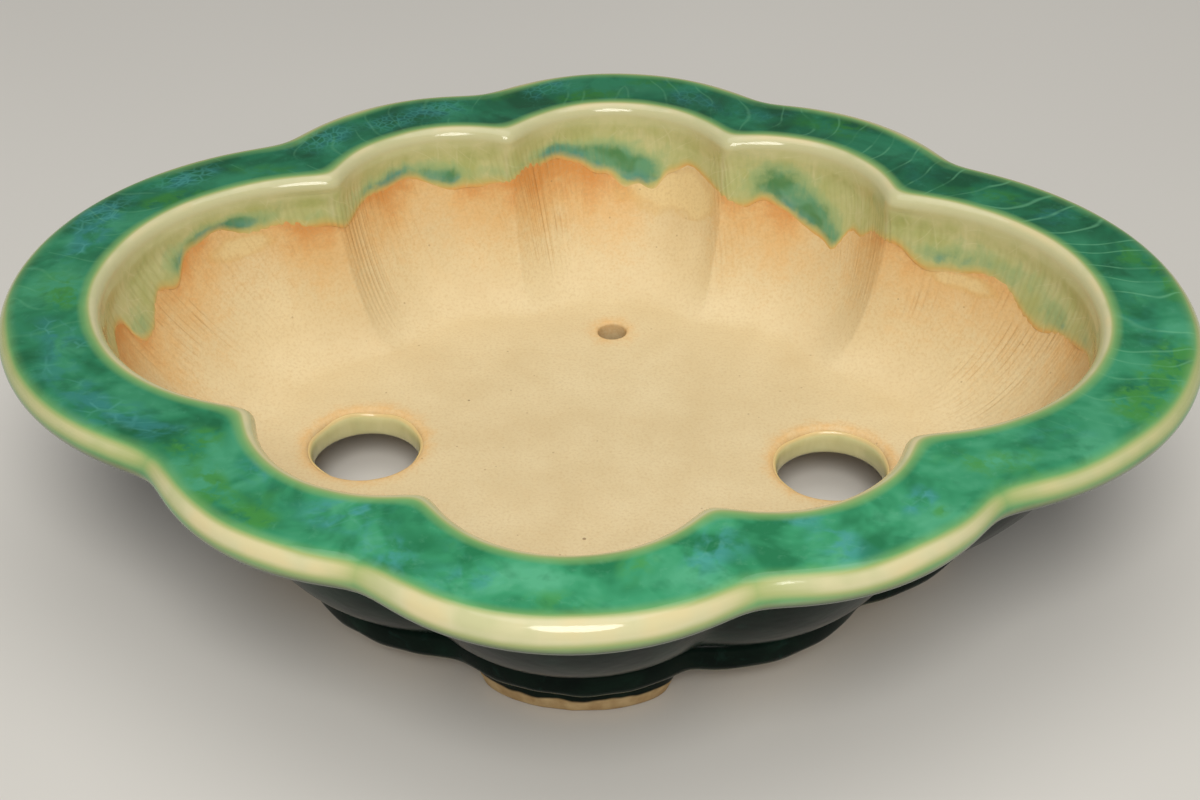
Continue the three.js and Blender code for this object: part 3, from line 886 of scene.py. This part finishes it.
def clay_material(name):
    s = Surface(name)
    soft = s.noise(26.0, 3.0)
    colour = s.ramp(soft, (0.3, (222, 200, 155)), (0.52, (229, 208, 163)), (0.72, (235, 216, 173)))
    cloud = s.noise(9.0, 4.0, 0.6)
    colour = s.blend(s.step(0.5, 0.75, cloud, 0.25), colour, (226, 194, 142))
    tone = s.ramp(s.noise(14.0, 4.0, 0.6), (0.35, (221, 201, 159)), (0.65, (231, 214, 174)))
    colour = s.blend(s.times(s.value("level"), 0.6), colour, tone)

    grain = s.noise(0.6, 3.0, 0.6)
    net = s.noise(3.0, 6.0, 0.7, 0.5)
    flash = s.value("flash")
    uneven = s.plus(s.times(net, 0.75), s.times(grain, 0.35))
    ragged = s.plus(flash, s.times(s.minus(uneven, 0.55), 0.9))
    warm = s.times(s.step(0.02, 0.62, ragged), s.step(0.0, 0.1, flash))
    colour = s.blend(s.times(warm, 0.85), colour, (231, 187, 124))
    colour = s.blend(s.step(0.44, 0.98, ragged, 0.92), colour, (218, 148, 76))
    patch = s.plus(s.value("pale"), s.swing(net, 0.5))
    patch = s.plus(patch, s.swing(s.noise(5.5), 1.1))
    patch = s.times(patch, s.step(0.04, 0.3, s.value("pale")))
    fringe = s.minus(s.step(0.12, 0.38, patch), s.step(0.38, 0.66, patch))
    colour = s.blend(s.step(0.28, 0.66, patch, 0.8), colour, (234, 210, 155))
    colour = s.blend(s.times(fringe, 0.28), colour, (216, 178, 104))

    across = s.value("tooth")
    uneven = s.noise(3.2, vector=s.join(across, 0.0))
    broken = s.step(0.34, 0.6, s.noise(6.0))
    line = s.times(s.step(0.22, 0.03, s.lines(across, 1.35)), s.step(0.28, 0.62, uneven))
    groove = s.times(s.times(line, broken), s.value("comb"), clamp=True)
    colour = s.blend(s.times(groove, 0.45), colour, (204, 156, 98))
    colour = s.blend(s.times(s.specks(4.5, 0.1, 0.07), 0.75), colour, (112, 78, 48))
    colour = s.blend(s.times(s.specks(2.1, 0.13, 0.1), 0.4), colour, (140, 102, 64))
    colour = s.blend(s.step(0.4, 0.76, grain, 0.42), colour, (206, 177, 128))
    colour = s.blend(s.times(s.value("outside"), 0.8), colour, (196, 168, 122))
    rough = s.plus(0.48, s.times(cloud, 0.2))
    height = s.plus(s.times(grain, 0.35), s.noise(2.2, 3.0))
    return s.finish(colour, rough, Normal=s.bump(groove, -0.11, 0.9, s.bump(height, 0.1, 0.6)), IOR=1.36)


def crack_place(s, profile):
    """Way along the rim on which cracks are set, swaying and bowed across the rim."""
    drift = s.times(s.noise(20.0, 1.0, 0.4), 20.0)
    turn = s.plus(8.0, s.times(s.noise(11.0, 1.0), 13.0))
    off = s.minus(profile, turn)
    bow = s.times(s.times(off, off), 0.022)
    return s.plus(s.plus(s.value("arc"), drift), bow)


def rim_green(s, flow, along, milky, fine):
    """The mottled green on top of the rim, with painted shade making it darker at the back and at the ends
    than at the front.
    """
    x, y = s.plan()
    # Painted shade: this share darkens the rim's green towards the back and at both ends.
    painted_shade_far = s.most(s.step(-0.06, 0.06, y), s.step(-0.01, -0.08, x, 0.64))
    painted_shade_far = s.most(painted_shade_far, s.step(0.03, 0.09, x, 0.4))
    rightward = s.step(0.01, 0.09, x)
    leftward = s.times(s.step(-0.07, -0.01, y), s.step(0.05, -0.02, x))

    broad = s.noise(13.0, 3.0, 0.55, 0.4)
    # The back ramp is the front green with painted shade; each blend by the painted shade share below
    # picks its darker colour.
    front = s.ramp(broad, (0.36, (36, 126, 82)), (0.5, (62, 160, 113)), (0.64, (90, 182, 138)))
    back = s.ramp(broad, (0.36, (8, 80, 50)), (0.5, (20, 103, 70)), (0.64, (38, 124, 88)))
    green = s.blend(painted_shade_far, front, back)
    tint = s.value("blue")
    sway = s.swing(s.noise(10.0), 1.2)
    lime = s.times(s.step(0.0, 0.5, s.minus(sway, tint)), s.step(0.36, 0.58, s.noise(3.4, 3.0, 0.6, 0.3)))
    grass = s.blend(painted_shade_far, (80, 160, 70), (42, 118, 42))
    green = s.blend(s.times(lime, 0.8), green, grass)
    tinted = s.step(0.0, 0.7, s.plus(tint, sway))
    blue = s.times(s.step(0.4, 0.62, milky), tinted)
    sea = s.blend(painted_shade_far, (76, 163, 160), (28, 108, 108))
    green = s.blend(s.times(blue, 0.78), green, sea)
    pale = s.blend(painted_shade_far, (116, 190, 154), (70, 150, 124))
    green = s.blend(s.step(0.54, 0.8, fine, 0.2), green, pale)
    dark = s.blend(painted_shade_far, (28, 112, 72), (12, 80, 50))
    green = s.blend(s.step(0.54, 0.74, s.noise(5.5, 3.0, 0.6, 0.3), 0.36), green, dark)

    fine_web = s.times(s.step(0.16, 0.0, s.cracks(1.7, flow)), s.step(0.6, 0.9, painted_shade_far))
    net = s.times(s.step(0.12, 0.0, s.cracks(2.9, flow)), s.step(0.44, 0.6, s.noise(4.5)))
    web = s.times(s.most(fine_web, net), s.times(tinted, s.plus(0.1, s.times(leftward, 0.25))))
    green = s.blend(web, green, s.blend(painted_shade_far, (120, 196, 184), (84, 172, 164)))
    broken = s.plus(s.step(0.44, 0.58, s.noise(8.0)), s.times(rightward, 0.45), clamp=True)
    hair = s.times(s.step(0.075, 0.0, s.lines(along, 6.2)), s.times(broken, s.step(-0.05, 0.0, y)))
    hair = s.times(hair, s.plus(0.14, s.times(rightward, 0.24)))
    return s.blend(hair, green, (122, 198, 152))


def broken_edges(s, green, profile, thin):
    """The glaze breaking to cream over the edges, with painted shade turning it olive and then dark under
    the outer one.
    """
    rub = s.noise(9.0)
    cream = s.ramp(rub, (0.35, (203, 203, 156)), (0.5, (215, 210, 166)), (0.66, (222, 210, 162)))
    soft = s.plus(thin, s.swing(rub, 0.14))
    top = s.blend(s.step(0.03, 0.45, soft, 0.8), green, (124, 174, 104))
    top = s.blend(s.step(0.3, 0.66, soft, 0.85), top, (182, 188, 124))
    top = s.blend(s.step(0.55, 0.92, soft), top, cream)
    # Painted shade under the outer edge: olive below its middle, dark green further under.
    top = s.blend(s.step(0.4, -1.2, profile, 0.6), top, (166, 164, 108))
    return s.blend(s.step(-0.4, -2.1, profile, 0.85), top, (50, 66, 40))


def inside_band(s, flow, along, profile, thin, rib):
    """The band inside the bowl: olive with green pools, yellow to orange at its lower edge."""
    streak = s.noise(2.2, 4.0, 0.6, 0.4, s.vectors("MULTIPLY", flow, (1.0, 1.0, 0.2)))
    cloud = s.noise(7.0, 3.0, 0.55, 0.4)
    wisps = s.noise(4.0, 3.0, 0.6, 0.3)
    low = s.value("low")
    olive = s.ramp(cloud, (0.32, (178, 186, 122)), (0.5, (194, 198, 141)), (0.7, (208, 206, 155)))
    olive = s.blend(s.step(0.45, 0.75, streak, 0.35), olive, (172, 180, 110))
    pool = s.plus(s.value("pool"), s.swing(cloud, 0.7))
    pool = s.plus(s.plus(pool, s.swing(streak, 0.35)), s.swing(wisps, 0.7))
    olive = s.blend(s.step(0.1, 0.5, pool, 0.8), olive, (158, 184, 130))
    green = s.blend(s.step(0.4, 0.6, s.noise(6.0, 2.0, 0.5, 0.3)), (64, 130, 82), (92, 156, 122))
    olive = s.blend(s.step(0.4, 0.95, pool, 0.88), olive, green)
    deep = s.times(s.step(5.0, 1.5, low), s.step(0.4, 0.7, pool))
    blue = s.times(deep, s.step(0.36, 0.58, s.noise(5.5, 2.0, 0.5, 0.2)))
    olive = s.blend(s.times(blue, 0.75), olive, (84, 154, 150))
    ragged = s.plus(low, s.swing(wisps, 1.6))
    olive = s.blend(s.step(2.6, 0.6, ragged, 0.8), olive, (207, 189, 116))
    skirt = s.blend(s.step(0.1, 0.4, s.value("pale")), (225, 177, 106), (226, 200, 142))
    olive = s.blend(s.step(1.3, 0.1, low), olive, skirt)
    olive = s.blend(s.times(rib, 0.42), olive, (156, 156, 92))
    rising = s.plus(along, s.times(profile, 0.7))
    falling = s.minus(along, s.times(profile, 0.9))
    craze = s.most(s.step(0.06, 0.0, s.lines(rising, 6.5)), s.step(0.06, 0.0, s.lines(falling, 8.0)))
    craze = s.times(craze, s.step(0.4, 0.6, s.noise(5.0)))
    craze = s.times(craze, s.step(0.55, 0.15, pool, 0.24))
    olive = s.blend(craze, olive, (222, 220, 180))
    return s.blend(s.step(0.05, 0.95, thin, 0.9), olive, (203, 200, 156))


def rim_glaze_material(name):
    s = Surface(name)
    profile = s.value("profile")
    thin = s.value("thin")
    flow = s.round_pot(profile)
    along = crack_place(s, profile)
    milky = s.noise(3.8, 3.0, 0.5, 0.25, flow)
    fine = s.noise(1.9, 3.0, 0.6, 0.3)
    rib = s.times(s.step(0.34, 0.04, s.lines(s.value("tooth"), 1.5)), s.value("ribs"))
    top = broken_edges(s, rim_green(s, flow, along, milky, fine), profile, thin)
    inside = inside_band(s, flow, along, profile, thin, rib)
    colour = s.blend(s.value("inner"), top, inside)
    height = s.plus(s.noise(7.0), s.times(fine, 0.08))
    rough = s.plus(0.07, s.times(milky, 0.06))
    return s.finish(colour, rough, Normal=s.bump(rib, -0.12, 0.8, s.bump(height, 0.24, 0.5)), IOR=1.48)


def outer_glaze_material(name, foot=False):
    s = Surface(name)
    broad = s.noise(12.0, 4.0, 0.6, 0.6)
    # Partly the glaze's own deep green and partly painted shade: the green is darkened nearly to black,
    # the shade under the rim painted into it.
    colour = s.ramp(broad, (0.3, (9, 19, 15)), (0.52, (13, 28, 21)), (0.72, (20, 42, 32)))
    spots = s.noise(3.5, 3.0, 0.6, 0.8)
    colour = s.blend(s.step(0.58, 0.74, spots, 0.4), colour, (26, 54, 46))
    if foot:
        waver = s.times(s.noise(8.0), 2.2)
        bare = s.step(2.6, 1.9, s.minus(s.value("tip"), waver))
        clay = s.ramp(s.noise(3.0, 4.0), (0.35, (178, 146, 102)), (0.65, (206, 178, 132)))
        colour = s.blend(bare, colour, clay)
        rough = s.plus(0.2, s.times(bare, 0.45))
    else:
        colour = s.blend(s.step(0.9, 0.1, s.value("low"), 0.8), colour, (110, 118, 70))
        rough = s.plus(0.17, s.times(spots, 0.06))
    return s.finish(colour, rough, Normal=s.bump(s.noise(6.0), 0.3, 0.5), IOR=1.14)


def pale_glaze_material(name):
    s = Surface(name)
    drawn = s.vectors("MULTIPLY", s.place, (1000.0, 1000.0, 350.0))
    drip = s.noise(3.0, 3.0, 0.55, 0.2, drawn)
    colour = s.ramp(drip, (0.3, (211, 205, 150)), (0.52, (217, 211, 157)), (0.72, (224, 217, 165)))
    colour = s.blend(s.step(0.5, 0.72, s.noise(5.0), 0.35), colour, (200, 207, 150))
    colour = s.blend(s.step(0.9, 0.1, s.value("low"), 0.85), colour, (228, 198, 138))
    rough = s.plus(0.14, s.times(drip, 0.1))
    return s.finish(colour, rough, Normal=s.bump(s.noise(5.0), 0.12, 0.5))


def direction(azimuth, elevation):
    """Unit vector from the pot, by degrees to the right of the front and degrees up."""
    turn = math.radians(azimuth)
    rise = math.radians(elevation)
    return Vector((math.sin(turn) * math.cos(rise), -math.cos(turn) * math.cos(rise), math.sin(rise)))


def place_camera():
    """The photograph's camera: 1200 by 800, all sizes in metres."""
    turn = math.radians(CAMERA_TURN)
    roll = math.radians(CAMERA_ROLL)
    back = direction(CAMERA_TURN, CAMERA_RISE)
    right = Vector((math.cos(turn), math.sin(turn), 0.0))
    up = back.cross(right)
    position = back * CAMERA_DISTANCE + right * CAMERA_RIGHT - up * CAMERA_DOWN
    position += Vector((0.0, 0.0, CAMERA_AIM))
    across = right * math.cos(roll) + up * math.sin(roll)
    upward = up * math.cos(roll) - right * math.sin(roll)
    data = bpy.data.cameras.new("camera")
    data.sensor_fit = "HORIZONTAL"
    data.sensor_width = 36.0
    data.lens = CAMERA_LENS
    data.clip_start = 0.01
    camera = add_object("camera", data)
    facing = Matrix((across, upward, back)).transposed().to_4x4()
    camera.matrix_world = Matrix.Translation(position) @ facing
    bpy.context.scene.camera = camera


def place_lamp(name, azimuth, elevation, distance, size, power, colour):
    data = bpy.data.lights.new(name, "AREA")
    data.shape = "DISK"
    data.size = size
    data.energy = power
    data.color = colour
    lamp = add_object(name, data)
    away = direction(azimuth, elevation)
    lamp.location = away * distance + Vector((0.0, 0.0, LAMP_AIM))
    lamp.rotation_euler = away.to_track_quat("Z", "Y").to_euler()


def make_stage():
    mesh = bpy.data.meshes.new("studio_floor")
    corners = [(STAGE_HALF * x, STAGE_HALF * y, 0.0) for x, y in ((-1, -1), (1, -1), (1, 1), (-1, 1))]
    mesh.from_pydata(corners, [], [(0, 1, 2, 3)])
    ground = add_object("studio_floor", mesh)
    s = Surface("studio_floor")
    colour = s.ramp(s.noise(300.0), (0.35, (214, 212, 207)), (0.65, (220, 218, 213)))
    mesh.materials.append(s.finish(colour, 0.9))
    world = bpy.data.worlds.new("studio")
    bpy.context.scene.world = world
    world.use_nodes = True
    sky = world.node_tree.nodes["Background"]
    sky.inputs["Color"].default_value = SKY_COLOUR
    sky.inputs["Strength"].default_value = SKY_STRENGTH
    for lamp in LAMPS:
        place_lamp(*lamp)


def settle(piece, slot, material, *nodes):
    piece.data.materials.append(material)
    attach(piece, "root")
    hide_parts(*nodes)


def main():
    bpy.context.scene.view_settings.view_transform = "Standard"
    place_camera()
    make_stage()
    clay = clay_material("buff_clay")
    outer = outer_glaze_material("deep_green_glaze_and_painted_shade")
    foot_finish = outer_glaze_material("foot_glaze", foot=True)
    pale = pale_glaze_material("pale_celadon_glaze")
    settle(make_clay_bowl(), "clay", clay, "floor_slab", "wall")
    settle(make_rim_glaze(), "green_glaze", rim_glaze_material("mottled_green_glaze"), "rim_glaze")
    settle(make_outer_glaze(), "outer_glaze", outer, "outer_glaze")
    for side, x, seed in (("left", -DRAIN_X, 61), ("right", DRAIN_X, 62)):
        lining = make_drain_lining("drain_lining_" + side, x, seed)
        settle(lining, "pale_glaze", pale, "drain_glaze_" + side)
    for label, bearing in (("right", 0.0), ("back", PI / 2), ("left", PI), ("front", FRONT)):
        settle(make_foot("pot_foot_" + label, bearing), "clay", foot_finish, "foot_" + label)
    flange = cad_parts["rim_flange"]
    flange.data.materials.clear()
    flange.data.materials.append(clay)


main()
